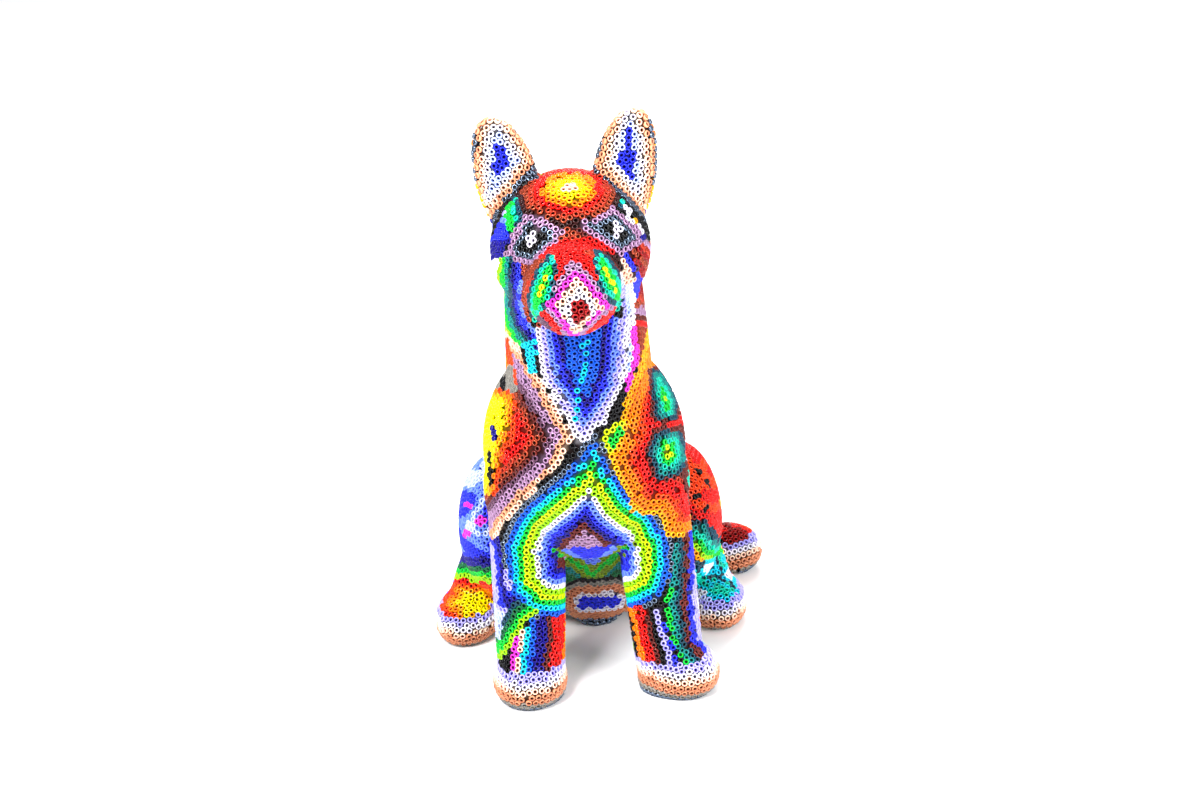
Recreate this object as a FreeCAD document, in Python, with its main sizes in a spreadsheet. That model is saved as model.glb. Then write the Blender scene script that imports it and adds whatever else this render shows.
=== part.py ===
"""A seated dog carved in wood, coated with beeswax and covered with glass seed beads.

The figure faces -Y, +Z is up and +X is the viewer's right. It stands on z = 0.
Every carved part is one form at three sizes: the bare wood, the wood with its wax,
and the wood with its wax and its beads. The layers are the differences between them.
"""
import FreeCAD, Part
import os

SIZES = {
    # the two coats, measured outward from the wood
    "wax_coat": 1.0,
    "bead_coat": 1.5,
    # head
    "skull_width": 45.0,
    "skull_depth": 49.0,
    "skull_height": 43.0,
    "skull_back": 28.0,
    "skull_up": 153.0,
    "muzzle_width": 25.0,
    "muzzle_depth": 39.0,
    "muzzle_height": 24.0,
    "muzzle_back": 4.0,
    "muzzle_up": 149.0,
    # ears
    "ear_width": 16.0,
    "ear_depth": 5.0,
    "ear_height": 41.0,
    "ear_apart": 35.0,
    "ear_back": 33.0,
    "ear_up": 172.0,
    "ear_lean": 13.0,
    "ear_turn": 12.0,
    # chest, trunk, rump and the low lobe that the figure sits on
    "chest_width": 61.0,
    "chest_depth": 59.0,
    "chest_height": 71.0,
    "chest_back": 44.0,
    "chest_up": 80.0,
    "trunk_low_radius": 28.5,
    "trunk_low_back": 84.0,
    "trunk_low_up": 38.0,
    "trunk_top_radius": 28.0,
    "trunk_top_back": 48.0,
    "trunk_top_up": 82.0,
    "rump_width": 58.0,
    "rump_depth": 57.0,
    "rump_height": 61.0,
    "rump_back": 88.0,
    "rump_up": 31.0,
    "seat_width": 20.0,
    "seat_depth": 24.0,
    "seat_height": 22.0,
    "seat_back": 84.0,
    "seat_up": 8.0,
    # neck
    "neck_low_radius": 22.0,
    "neck_top_radius": 19.0,
    "neck_low_back": 42.0,
    "neck_low_up": 90.0,
    "neck_top_back": 29.0,
    "neck_top_up": 146.0,
    # front legs and paws
    "shoulder_width": 23.0,
    "shoulder_depth": 28.0,
    "shoulder_height": 38.0,
    "shoulder_apart": 39.0,
    "shoulder_back": 36.0,
    "shoulder_up": 70.0,
    "leg_top_radius": 10.6,
    "leg_top_apart": 39.0,
    "leg_top_back": 35.0,
    "leg_top_up": 70.0,
    "leg_foot_radius": 8.6,
    "left_leg_foot_out": 22.5,
    "right_leg_foot_out": 24.0,
    "leg_foot_back": 27.0,
    "leg_foot_up": -3.0,
    "paw_width": 20.0,
    "paw_depth": 24.0,
    "paw_height": 15.0,
    "left_paw_out": 22.5,
    "right_paw_out": 26.5,
    "paw_back": 26.0,
    "paw_up": 6.5,
    "left_paw_turn": 3.0,
    "right_paw_turn": 30.0,
    # hind legs and feet
    "thigh_width": 25.0,
    "thigh_depth": 49.0,
    "thigh_height": 46.0,
    "thigh_apart": 61.0,
    "thigh_back": 84.0,
    "thigh_up": 35.0,
    "hock_low_radius": 7.2,
    "left_hock_low_out": 43.0,
    "right_hock_low_out": 39.5,
    "hock_low_back": 80.0,
    "hock_low_up": 5.0,
    "hock_top_radius": 9.0,
    "hock_top_apart": 62.0,
    "hock_top_back": 86.0,
    "hock_top_up": 30.0,
    "foot_width": 18.5,
    "foot_depth": 30.0,
    "foot_height": 14.0,
    "left_foot_out": 43.5,
    "right_foot_out": 40.0,
    "foot_back": 77.0,
    "foot_up": 6.0,
    "foot_turn": 12.0,
    # tail, which lies on the floor to the right
    "tail_base_width": 22.0,
    "tail_base_depth": 20.0,
    "tail_base_height": 20.0,
    "tail_base_right": 9.0,
    "tail_base_back": 102.5,
    "tail_base_up": 12.0,
    "tail_root_radius": 7.6,
    "tail_root_right": 8.0,
    "tail_root_back": 104.5,
    "tail_root_up": 11.0,
    "tail_end_radius": 6.4,
    "tail_end_right": 48.0,
    "tail_end_back": 112.5,
    "tail_end_up": 7.0,
    "tail_tip_width": 22.0,
    "tail_tip_depth": 16.0,
    "tail_tip_height": 15.0,
    "tail_tip_right": 47.0,
    "tail_tip_back": 112.5,
    "tail_tip_up": 7.0,
    # glued wooden dowels
    "neck_dowel_radius": 5.0,
    "neck_dowel_length": 44.0,
    "ear_dowel_radius": 1.6,
    "ear_dowel_length": 20.0,
    "front_leg_dowel_radius": 3.0,
    "front_leg_dowel_length": 24.0,
    "front_leg_dowel_below": 8.0,
    "hind_leg_dowel_radius": 3.0,
    "hind_leg_dowel_length": 24.0,
    "hind_leg_dowel_out": 5.0,
    "tail_dowel_radius": 2.5,
    "tail_dowel_length": 26.0,
    "tail_dowel_inside": 8.0,
}

COATS = {"wood": "0", "wax": "Sizes.wax_coat", "bead": "Sizes.wax_coat + Sizes.bead_coat"}
LEFT, RIGHT = -1, 1
SIDES = {"left": LEFT, "right": RIGHT}
WORDS = {side: word for word, side in SIDES.items()}
UP = FreeCAD.Vector(0, 0, 1)
ROOM = 600.0  # side of the block that stands for the floor, larger than any figure

doc = FreeCAD.newDocument("seated_dog")
sheet = doc.addObject("Spreadsheet::Sheet", "Sizes")
for row, (alias, value) in enumerate(SIZES.items(), start=1):
    sheet.set("A%d" % row, alias)
    sheet.set("B%d" % row, str(value))
    sheet.setAlias("B%d" % row, alias)
doc.recompute()


def size(alias):
    """The value that the sheet holds under this alias."""
    return float(sheet.get(alias))


def bind(piece, **sizes):
    """Ties properties of a piece to expressions of the sheet; a double _ stands for a dot."""
    for name, expression in sizes.items():
        piece.setExpression(name.replace("__", "."), expression)
    return piece


def spot(stem, side=0):
    """Expressions for the place of a joint or block: right, back and up.

    A pair is as far apart as its one value says, or each side has its own distance out.
    """
    own_side = "%s_%s_out" % (WORDS[side], stem) if side else stem + "_right"
    if side and own_side in SIZES:
        right = "%d * Sizes.%s" % (side, own_side)
    elif side:
        right = "%d * Sizes.%s_apart / 2" % (side, stem)
    elif own_side in SIZES:
        right = "Sizes.%s" % own_side
    else:
        right = "0"
    return right, "Sizes.%s_back" % stem, "Sizes.%s_up" % stem


def place_of(stem, side=0):
    """The same place as a vector."""
    return FreeCAD.Vector(*[float(sheet.evalExpression(text)) for text in spot(stem, side)])


def put(piece, place):
    """Ties a piece to a place given as three expressions."""
    right, back, up = place
    return bind(piece, Placement__Base__x=right, Placement__Base__y=back, Placement__Base__z=up)


def turned(degrees):
    """A turn about the upright axis."""
    return FreeCAD.Rotation(UP, degrees)


# How an egg-shaped block is turned before it is placed: the way its poles or its seam
# face, and which of its sizes then lie along its own Z, X and Y.
FACINGS = {
    "seam_right": (FreeCAD.Rotation(), ("height", "width", "depth")),
    "seam_left": (FreeCAD.Rotation(UP, 180), ("height", "width", "depth")),
    "seam_front": (FreeCAD.Rotation(UP, -90), ("height", "depth", "width")),
    "poles_front": (FreeCAD.Rotation(FreeCAD.Vector(1, 0, 0), 90), ("depth", "width", "height")),
}


def ball(name, stem, coat, side=0, turn=None, facing=None):
    """An egg-shaped block: the stem's width, depth and height, grown by its coat.

    Its poles and its seam face the way that puts them inside other blocks.
    """
    egg = doc.addObject("Part::Ellipsoid", name)
    own, along = FACINGS[facing or ("seam_left" if side == RIGHT else "seam_right")]
    egg.Placement.Rotation = turn * own if turn else own
    put(egg, spot(stem, side))
    radii = ["Sizes.%s_%s / 2 + %s" % (stem, word, COATS[coat]) for word in along]
    return bind(egg, Radius1=radii[0], Radius2=radii[1], Radius3=radii[2])


def span(low, top, side=0):
    """Where a limb's axis starts, which way it points, and its length as an expression."""
    start, end = place_of(low, side), place_of(top, side)
    squares = ["(%s - (%s))^2" % pair for pair in zip(spot(top, side), spot(low, side))]
    return start, end - start, "sqrt(" + " + ".join(squares) + ")"


def limb(name, low, top, coat, side=0):
    """A round tapered shaft from one place to another, grown by its coat."""
    grown = " + " + COATS[coat]
    start, run, length = span(low, top, side)
    shaft = doc.addObject("Part::Cone", name)
    shaft.Placement.Rotation = FreeCAD.Rotation(UP, run)
    return bind(put(shaft, spot(low, side)), Height=length,
                Radius1="Sizes.%s_radius%s" % (low, grown),
                Radius2="Sizes.%s_radius%s" % (top, grown))


def joined(name, pieces):
    """One shape from several that meet or overlap."""
    if len(pieces) == 1:
        return pieces[0]
    whole = doc.addObject("Part::MultiFuse", name)
    whole.Shapes = pieces
    return whole


def less(name, base, tools):
    """The base with each tool cut away in turn."""
    for step, tool in enumerate(tools, start=1):
        cut = doc.addObject("Part::Cut", "%s_cut_%d" % (name, step))
        cut.Base, cut.Tool = base, tool
        base = cut
    return base


def shared(name, first, second):
    """What two shapes have in common."""
    both = doc.addObject("Part::Common", name)
    both.Base = first
    both.Tool = second
    return both


def block_above_floor():
    """Everything above the plane that the figure stands on."""
    block = doc.addObject("Part::Box", "above_floor")
    block.Length = block.Width = block.Height = ROOM
    block.Placement.Base = FreeCAD.Vector(-ROOM / 2, -ROOM / 2, 0)
    return block


# ---------------------------------------------------------------- the carved forms
def head_form(name, coat):
    """Skull and muzzle."""
    return [ball(name + "_skull", "skull", coat, facing="seam_front"),
            ball(name + "_muzzle", "muzzle", coat, facing="poles_front")]


def ear_form(name, coat, side):
    """One upright leaf-shaped ear, leaning and turned outward."""
    lean = FreeCAD.Rotation(FreeCAD.Vector(0, 1, 0), side * size("ear_lean"))
    return [ball(name, "ear", coat, side, turned(side * size("ear_turn")) * lean)]


def torso_form(name, coat):
    """Chest, rump, the lobe it sits on, the trunk that joins them, and the neck."""
    return [ball(name + "_chest", "chest", coat), ball(name + "_rump", "rump", coat),
            ball(name + "_seat", "seat", coat),
            limb(name + "_trunk", "trunk_low", "trunk_top", coat),
            limb(name + "_neck", "neck_low", "neck_top", coat)]


def front_leg_form(name, coat, side):
    """A straight leg from the shoulder down through the paw."""
    turn = size("right_paw_turn") if side == RIGHT else -size("left_paw_turn")
    return [limb(name + "_shaft", "leg_foot", "leg_top", coat, side),
            ball(name + "_shoulder", "shoulder", coat, side),
            ball(name + "_paw", "paw", coat, side, turned(turn))]


def hind_leg_form(name, coat, side):
    """A folded thigh, the hock and the long foot."""
    foot = ball(name + "_foot", "foot", coat, side, turned(side * size("foot_turn")))
    hock = limb(name + "_hock", "hock_low", "hock_top", coat, side)
    return [ball(name + "_thigh", "thigh", coat, side), hock, foot]


def tail_form(name, coat):
    """The tail, lying along the floor."""
    return [ball(name + "_base", "tail_base", coat),
            limb(name + "_shaft", "tail_root", "tail_end", coat),
            ball(name + "_tip", "tail_tip", coat)]


floor_block = block_above_floor()

# Each carved part: its form, and the parts it is fitted to, earlier ones being whole.
CARVED = {
    "head": (head_form, ("torso", "left_ear", "right_ear")),
    "torso": (torso_form, ("head", "left_front_leg", "right_front_leg",
                           "left_hind_leg", "right_hind_leg", "tail")),
}
for word, side in SIDES.items():
    CARVED[word + "_ear"] = (lambda name, coat, side=side: ear_form(name, coat, side), ("head",))
    CARVED[word + "_front_leg"] = (
        lambda name, coat, side=side: front_leg_form(name, coat, side), ("torso",))
    CARVED[word + "_hind_leg"] = (
        lambda name, coat, side=side: hind_leg_form(name, coat, side), ("torso", "tail"))
CARVED["tail"] = (tail_form, ("torso", "left_hind_leg", "right_hind_leg"))
ORDER = list(CARVED)

forms = {}
for part, (make, _) in CARVED.items():
    for coat in COATS:
        name = "%s_%s" % (part, coat)
        whole = joined(name + "_form", make(name, coat))
        forms[part, coat] = shared(name + "_standing", whole, floor_block)
doc.recompute()


# ---------------------------------------------------------------- dowels
def dowel(name, parts, start, direction):
    """A round pin from start along a direction, kept inside the wood of the parts it joins.

    A left and a right dowel share one size.
    """
    stem = name.replace("left_", "").replace("right_", "")
    pin = doc.addObject("Part::Cylinder", name + "_pin")
    bind(pin, Radius="Sizes.%s_radius" % stem, Height="Sizes.%s_length" % stem)
    pin.Placement = FreeCAD.Placement(start, FreeCAD.Rotation(UP, direction))
    wood = joined(name + "_wood", [forms[part, "wood"] for part in parts])
    return shared(name, pin, wood)


dowels = {}
start, run, _ = span("neck_low", "neck_top")
dowels["neck_dowel"] = (("head", "torso"), start + run, -run)
for word, side in SIDES.items():
    ear = doc.getObject("%s_ear_wood" % word).Placement
    dowels[word + "_ear_dowel"] = (("head", word + "_ear"), ear.Base, ear.Rotation.multVec(-UP))
    start, run, _ = span("leg_foot", "leg_top", side)
    below = start + run * (1 - size("front_leg_dowel_below") / run.Length)
    dowels[word + "_front_leg_dowel"] = (("torso", word + "_front_leg"), below, -run)
    across = FreeCAD.Vector(side, 0, 0)
    dowels[word + "_hind_leg_dowel"] = (
        ("torso", word + "_hind_leg"),
        place_of("thigh", side) + across * size("hind_leg_dowel_out"), -across)
start, run, _ = span("tail_root", "tail_end")
dowels["tail_dowel"] = (("torso", "tail"), start - run * (size("tail_dowel_inside") / run.Length), run)
pins = {name: dowel(name, *how) for name, how in dowels.items()}

# ---------------------------------------------------------------- wood, wax and beads
nodes = dict(pins)
for part, (_, fitted) in CARVED.items():
    earlier = [other for other in fitted if ORDER.index(other) < ORDER.index(part)]
    later = [other for other in fitted if other not in earlier]
    wood, wax, bead = (forms[part, coat] for coat in COATS)
    sockets = [pins[name] for name, how in dowels.items() if part in how[0]]
    nodes[part + "_core"] = less(
        part + "_core", wood, [forms[other, "wood"] for other in earlier] + sockets)
    nodes[part + "_wax"] = less(
        part + "_wax", wax, [forms[other, "wax"] for other in earlier]
        + [forms[other, "wood"] for other in later] + [wood])
    nodes[part + "_beads"] = less(
        part + "_beads", bead, [forms[other, "bead"] for other in earlier]
        + [forms[other, "wax"] for other in later] + [wax])
doc.recompute()

# ---------------------------------------------------------------- the figure's own frame
whole = FreeCAD.BoundBox()
for node in nodes.values():
    whole.add(node.Shape.optimalBoundingBox(False))
centre = FreeCAD.Vector(-whole.Center.x, -whole.Center.y, 0)
for name, node in nodes.items():
    node.Label = name
    node.Placement.Base = node.Placement.Base + centre

for thing in doc.Objects:
    if "Invalid" in thing.State or "Error" in thing.State:
        raise RuntimeError("%s failed: %s" % (thing.Label, thing.State))
for name, node in nodes.items():
    if node.Shape.isNull() or not node.Shape.isValid() or not node.Shape.Solids:
        raise RuntimeError("%s has no valid solid" % name)
    print("%-26s solids %d  volume %9.1f mm3" % (name, len(node.Shape.Solids), node.Shape.Volume))

os.makedirs("parts", exist_ok=True)
for name, node in nodes.items():
    node.Shape.exportStep("parts/%s.step" % name)
print("size %.1f x %.1f x %.1f mm" % (whole.XLength, whole.YLength, whole.ZLength))
print("moved by", centre)
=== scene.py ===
"""The looks of a beaded dog: every seed bead is a ring of its own, pressed into a wax skin.

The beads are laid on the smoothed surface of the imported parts, packed at the bead pitch and
drawn into the rows of the motif that they belong to. Their colours follow those rows.
Sizes of motifs are in millimetres; meshes are in metres.
"""

import math

import bpy
import numpy as np
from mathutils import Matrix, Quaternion, Vector
from mathutils.kdtree import KDTree


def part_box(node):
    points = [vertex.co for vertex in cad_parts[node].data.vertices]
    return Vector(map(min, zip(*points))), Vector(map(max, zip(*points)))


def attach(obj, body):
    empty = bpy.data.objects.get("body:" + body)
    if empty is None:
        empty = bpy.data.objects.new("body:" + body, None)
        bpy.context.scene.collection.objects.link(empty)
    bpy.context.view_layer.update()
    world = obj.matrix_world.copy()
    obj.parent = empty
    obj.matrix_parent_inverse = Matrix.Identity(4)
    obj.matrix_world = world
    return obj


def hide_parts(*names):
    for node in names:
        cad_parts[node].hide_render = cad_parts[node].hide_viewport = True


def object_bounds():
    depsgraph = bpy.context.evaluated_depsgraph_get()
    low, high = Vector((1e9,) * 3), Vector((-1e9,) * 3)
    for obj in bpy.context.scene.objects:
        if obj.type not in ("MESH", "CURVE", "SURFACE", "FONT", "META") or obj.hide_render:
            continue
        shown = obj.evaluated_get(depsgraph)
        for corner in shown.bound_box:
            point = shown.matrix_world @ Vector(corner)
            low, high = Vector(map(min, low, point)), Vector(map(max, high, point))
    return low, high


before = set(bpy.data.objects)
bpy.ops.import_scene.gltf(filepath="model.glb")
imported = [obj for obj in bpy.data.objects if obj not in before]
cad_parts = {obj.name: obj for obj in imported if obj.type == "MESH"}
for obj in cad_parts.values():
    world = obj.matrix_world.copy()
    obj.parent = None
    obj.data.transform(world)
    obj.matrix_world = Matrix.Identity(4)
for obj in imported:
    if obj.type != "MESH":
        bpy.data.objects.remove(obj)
CAD_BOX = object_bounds()

MM = 0.001
PITCH = 2.1                      # from one bead to the next, mm
ROW = PITCH * math.sqrt(3) / 2   # from one row to the next, mm
BEAD_RADIUS = 1.04
HOLE_RADIUS = 0.42
BEAD_HEIGHT = 1.42
BEAD_LIFT = 0.42                 # centre of a bead above the wax
RING_STEPS = 12
VIEW_DOWN = math.radians(22.0)   # how far the front motifs' plane leans back
CAMERA_ROLL = math.radians(-3.7)
AIM_ASIDE, AIM_BACK, AIM_UNDER = 6, 63, 2.5   # the point looked at, mm
CAMERA_DISTANCE = 0.85           # m
LENS, SENSOR = 79.5, 36.0        # mm
SKIN_CELL = 1.25                 # one quad of the wax skin, mm
SMOOTH_IN, SMOOTH_OUT = 0.6, -0.55
SMOOTH_TURNS = 14
rng = np.random.default_rng(7)

PARTS = ("head", "torso", "left_ear", "right_ear", "left_front_leg", "right_front_leg",
         "left_hind_leg", "right_hind_leg", "tail")


# ---------------- camera
def make_camera():
    """A long lens in front of the figure, looking down on it and held a little crooked."""
    low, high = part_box("torso_beads")
    middle = (low.x + high.x) / 2
    target = Vector((middle + AIM_ASIDE * MM, CAD_BOX[0].y + AIM_BACK * MM,
                     CAD_BOX[1].z / 2 - AIM_UNDER * MM))
    camera = bpy.data.objects.new("camera", bpy.data.cameras.new("camera"))
    bpy.context.scene.collection.objects.link(camera)
    camera.data.lens = LENS
    camera.data.sensor_width = SENSOR
    camera.data.clip_start = 0.01
    away = Vector((0, -math.cos(VIEW_DOWN), math.sin(VIEW_DOWN)))
    camera.location = target + away * CAMERA_DISTANCE
    camera.rotation_mode = "QUATERNION"
    roll = Quaternion((0, 0, 1), CAMERA_ROLL)
    camera.rotation_quaternion = (-away).to_track_quat("-Z", "Y") @ roll
    bpy.context.scene.camera = camera


make_camera()


# ---------------- meshes and arrays
def arrays_of(mesh):
    """Vertices (n, 3) and triangles (m, 3) of a mesh."""
    mesh.calc_loop_triangles()
    points = np.empty(len(mesh.vertices) * 3, np.float32)
    mesh.vertices.foreach_get("co", points)
    corners = np.empty(len(mesh.loop_triangles) * 3, np.int32)
    mesh.loop_triangles.foreach_get("vertices", corners)
    return points.reshape(-1, 3).astype(float), corners.reshape(-1, 3)


def mesh_from(name, points, faces):
    """A mesh from vertices (n, 3) and faces (m, k) that all have k corners."""
    mesh = bpy.data.meshes.new(name)
    count, corners = faces.shape
    mesh.vertices.add(len(points))
    mesh.vertices.foreach_set("co", np.asarray(points, np.float32).ravel())
    mesh.loops.add(count * corners)
    mesh.loops.foreach_set("vertex_index", np.asarray(faces, np.int32).ravel())
    mesh.polygons.add(count)
    mesh.polygons.foreach_set("loop_start", np.arange(0, count * corners, corners, dtype=np.int32))
    mesh.polygons.foreach_set("use_smooth", np.ones(count, bool))
    mesh.update(calc_edges=True)
    return mesh


def add_object(name, mesh):
    """The mesh as an object in the scene."""
    thing = bpy.data.objects.new(name, mesh)
    bpy.context.scene.collection.objects.link(thing)
    return thing


def smooth_skin():
    """The outside of all wood and wax as one closed surface, with soft joints.

    The parts' meshes are joined, rebuilt as one skin of small even quads, and each vertex is
    moved towards the mean of its neighbours and part of the way back, which rounds the joints
    and keeps the size.
    """
    points, faces, start = [], [], 0
    for part in PARTS:
        for layer in ("_core", "_wax"):
            some, corners = arrays_of(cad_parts[part + layer].data)
            points.append(some)
            faces.append(corners + start)
            start += len(some)
    rough = add_object("rough_skin", mesh_from("rough_skin", np.vstack(points), np.vstack(faces)))
    remesh = rough.modifiers.new("even quads", "REMESH")
    remesh.mode = "VOXEL"
    remesh.voxel_size = SKIN_CELL * MM
    graph = bpy.context.evaluated_depsgraph_get()
    even = bpy.data.meshes.new_from_object(rough.evaluated_get(graph))
    bpy.data.objects.remove(rough)
    count = len(even.vertices)
    edges = np.empty(len(even.edges) * 2, np.int32)
    even.edges.foreach_get("vertices", edges)
    edges = edges.reshape(-1, 2)
    quads = np.empty(len(even.polygons) * 4, np.int32)
    even.loops.foreach_get("vertex_index", quads)
    spot = np.empty(count * 3, np.float32)
    even.vertices.foreach_get("co", spot)
    spot = spot.reshape(-1, 3).astype(float)
    near = np.bincount(edges.ravel(), minlength=count)[:, None]
    for step in (SMOOTH_IN, SMOOTH_OUT) * SMOOTH_TURNS:
        total = np.zeros_like(spot)
        for axis in range(3):
            total[:, axis] = (np.bincount(edges[:, 0], spot[edges[:, 1], axis], count)
                              + np.bincount(edges[:, 1], spot[edges[:, 0], axis], count))
        spot += step * (total / near - spot)
    spot[:, 2] = np.maximum(spot[:, 2], 0)
    mesh = mesh_from("wax_skin", spot, quads.reshape(-1, 4))
    return add_object("wax_skin", mesh)


def normals_of(mesh):
    """Unit normals at the vertices."""
    found = np.empty(len(mesh.vertices) * 3, np.float32)
    mesh.vertex_normals.foreach_get("vector", found)
    return found.reshape(-1, 3).astype(float)


class Surface:
    """The distance from a skin, on a grid: near it, the height above its tangent planes.

    Each vertex adds, to the grid points within two cells, the grid point's height over the
    vertex's tangent plane, weighted by a bell of their distance.
    """
    CELL = 1.5
    BELL = 1.5
    SPAN = 6         # grid points that a vertex reaches along each axis

    def __init__(self, points, normals):
        self.low = points.min(0) - 4 * self.CELL
        self.shape = tuple(((points.max(0) - self.low) / self.CELL + 6).astype(int))
        size = int(np.prod(self.shape))
        weight, height = np.zeros(size), np.zeros(size)
        slope = np.zeros((3, size))
        base = ((points - self.low) / self.CELL).astype(int)
        for shift in np.ndindex(self.SPAN, self.SPAN, self.SPAN):
            node = base + np.array(shift) - 2
            across = node * self.CELL + self.low - points
            bell = np.exp(-(across ** 2).sum(1) / (2 * self.BELL ** 2))
            flat = np.ravel_multi_index(node.T, self.shape)
            weight += np.bincount(flat, bell, size)
            height += np.bincount(flat, bell * (across * normals).sum(1), size)
            for axis in range(3):
                slope[axis] += np.bincount(flat, bell * normals[:, axis], size)
        known = weight > 1e-9
        height[known] /= weight[known]
        self.table = np.vstack([height[None], slope]).T

    def look(self, points):
        """Height over the skin and outward normal at some points, by mixing eight grid values."""
        place = (points - self.low) / self.CELL
        base = np.clip(place.astype(int), 0, np.array(self.shape) - 2)
        part = place - base
        mixed = np.zeros((len(points), 4))
        for corner in np.ndindex(2, 2, 2):
            share = np.prod(np.where(corner, part, 1 - part), axis=1)
            flat = np.ravel_multi_index((base + np.array(corner)).T, self.shape)
            mixed += share[:, None] * self.table[flat]
        normal = mixed[:, 1:]
        return mixed[:, 0], normal / np.maximum(np.linalg.norm(normal, axis=1), 1e-9)[:, None]

    def settle(self, points):
        """Points moved straight onto the skin."""
        for _ in range(2):
            height, normal = self.look(points)
            points = points - np.clip(height, -1, 1)[:, None] * normal
        return points


skin = smooth_skin()
skin_points, skin_faces = arrays_of(skin.data)
skin_points = skin_points / MM
surface = Surface(skin_points, normals_of(skin.data))


# ---------------- glass
def srgb(code):
    """Linear red, green and blue of a hexadecimal colour."""
    value = np.array([int(code[k:k + 2], 16) for k in (0, 2, 4)]) / 255
    return np.where(value <= 0.04045, value / 12.92, ((value + 0.055) / 1.055) ** 2.4)


# Each kind of glass: its colour, and the colour in its hole where that isn't the common one. The hole
# colour is painted shade inside the hole, darker than the glass, and for colour-lined beads, such as
# cream with a red hole, it is also the lining's own colour.
# the common hole colour: painted shade inside the hole
HOLE_SHADE = "200810"
PLAIN = {
    "white": ("f0eefa", "7c6c90"), "cream": ("f8d6bc", "a83018"), "peach": ("eea47c", "7c2410"),
    "tan": ("d88c66", "6c2412"), "pink": ("f58ab8", None), "pale_blue": ("c4d0ff", "6a80e0"),
    "lilac": ("b4aef4", "4a3cc8"), "light_blue": ("6f90ff", "1a2cc0"), "royal": ("2430e8", "0c0870"),
    "navy": ("150c88", "05032c"), "cobalt": ("0f5ee6", "041c6c"), "cyan": ("00d4ee", "005c88"),
    "turquoise": ("00cfae", "00584c"), "teal": ("068a86", "02342f"), "dark_teal": ("12465c", "031318"),
    "green": ("00cc38", "005a18"), "dark_green": ("0a6a3c", "02240f"), "lime": ("9fe400", "3c6a00"),
    "olive": ("7c9c10", "303c04"), "yellow_lime": ("cfe800", "6a8000"), "yellow": ("fff000", "b08c00"),
    "amber": ("ffb000", "a02c00"), "orange": ("ff8400", "a02000"), "orange_red": ("ff4408", "7c0c00"),
    "red": ("ea100a", "5c0000"), "dark_red": ("9a0c0e", "2c0000"), "magenta": ("f436d0", "8c0470"),
    "grey": ("8c8880", "302c28"), "black": ("09090d", "000000"), "brown": ("6a221c", "1c0404"),
    "dark_brown": ("381414", "0c0202"),
}
METAL = {"gunmetal": ("6c7c92", "0c0c12"), "copper": ("b0482c", "2c0804"),
         "copper_red": ("cc3c24", "3c0804"), "mauve": ("b48cb4", "4c2440"),
         "mauve_dark": ("744e68", "240c1c")}
METALNESS = {"gunmetal": 0.85, "copper": 0.5, "copper_red": 0.35, "mauve": 0.3, "mauve_dark": 0.4}
GLASS = {**PLAIN, **METAL}
GLASS_NAMES = list(GLASS)
GLASS_COLOUR = np.array([srgb(GLASS[name][0]) for name in GLASS_NAMES])
GLASS_HOLE_LINING_AND_SHADE = np.array([srgb(GLASS[name][1] or HOLE_SHADE) for name in GLASS_NAMES])
GLASS_METAL = np.array([METALNESS.get(name, 0.0) for name in GLASS_NAMES])


def glass(words):
    """Numbers of the kinds of glass named in a line of words; word*3 stands for three rows."""
    found = []
    for word in words.split():
        name, _, times = word.partition("*")
        found += [GLASS_NAMES.index(name)] * int(times or 1)
    return np.array(found)


# ---------------- where beads are
TORSO_LOW, TORSO_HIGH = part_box("torso_beads")
MIDDLE = (TORSO_LOW.x + TORSO_HIGH.x) / 2 / MM
BACK_ZERO = CAD_BOX[0].y / MM + 18   # depths count from here, 18 mm behind the nose tip
SEEN_ROW = 1.7                       # a row on an upright front, in the drawing plane, mm


class Place:
    """Where beads are, in mm: across from the middle, back, up, and up in the drawing plane
    that leans back by VIEW_DOWN; the number of their part; and how much they face that plane."""

    def __init__(self, points, normals, part):
        self.x = points[:, 0] - MIDDLE
        self.y = points[:, 1] - BACK_ZERO
        self.z = points[:, 2]
        self.w = self.z * math.cos(VIEW_DOWN) + self.y * math.sin(VIEW_DOWN)
        self.facing = normals[:, 2] * math.sin(VIEW_DOWN) - normals[:, 1] * math.cos(VIEW_DOWN)
        self.part = part


def part_finder():
    """A tree of the bead shells' outer points, and the part that each belongs to."""
    spots, owners = [], []
    for number, part in enumerate(PARTS):
        some, _ = arrays_of(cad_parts[part + "_beads"].data)
        some = np.unique(np.round(some / (0.8 * MM)), axis=0) * 0.8
        spots.append(some)
        owners.append(np.full(len(some), number))
    spots, owners = np.vstack(spots), np.concatenate(owners)
    tree = KDTree(len(spots))
    for number, spot in enumerate(spots):
        tree.insert(spot, number)
    tree.balance()
    return tree, owners


PART_TREE, PART_OF_SPOT = part_finder()


def nearest_part(points):
    """The number of the part whose bead shell is nearest to each point."""
    return PART_OF_SPOT[[PART_TREE.find(point)[1] for point in points]]


# ---------------- shapes of fields
# Each gives a function of a drawing's two coordinates: the distance inside the shape's
# edge, in mm, below zero outside it.
def to_segment(u, v, a, b):
    """Distance from points to the segment from a to b."""
    run = np.subtract(b, a)
    along = ((u - a[0]) * run[0] + (v - a[1]) * run[1]) / (run @ run)
    along = np.clip(along, 0, 1)
    return np.hypot(u - a[0] - along * run[0], v - a[1] - along * run[1])


def outline(*corners, rim=None):
    """A closed shape with straight sides; its rows follow the first sides, as many as rim says."""
    sides = list(zip(corners, corners[1:] + corners[:1]))

    def depth(u, v):
        inside = np.zeros(len(u), bool)
        for (ax, ay), (bx, by) in sides:
            if ay != by:
                inside ^= ((ay > v) != (by > v)) & (u < (bx - ax) * (v - ay) / (by - ay) + ax)
        away = np.min([to_segment(u, v, a, b) for a, b in sides[:rim]], axis=0)
        return np.where(inside, away, -away)
    return depth


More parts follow.
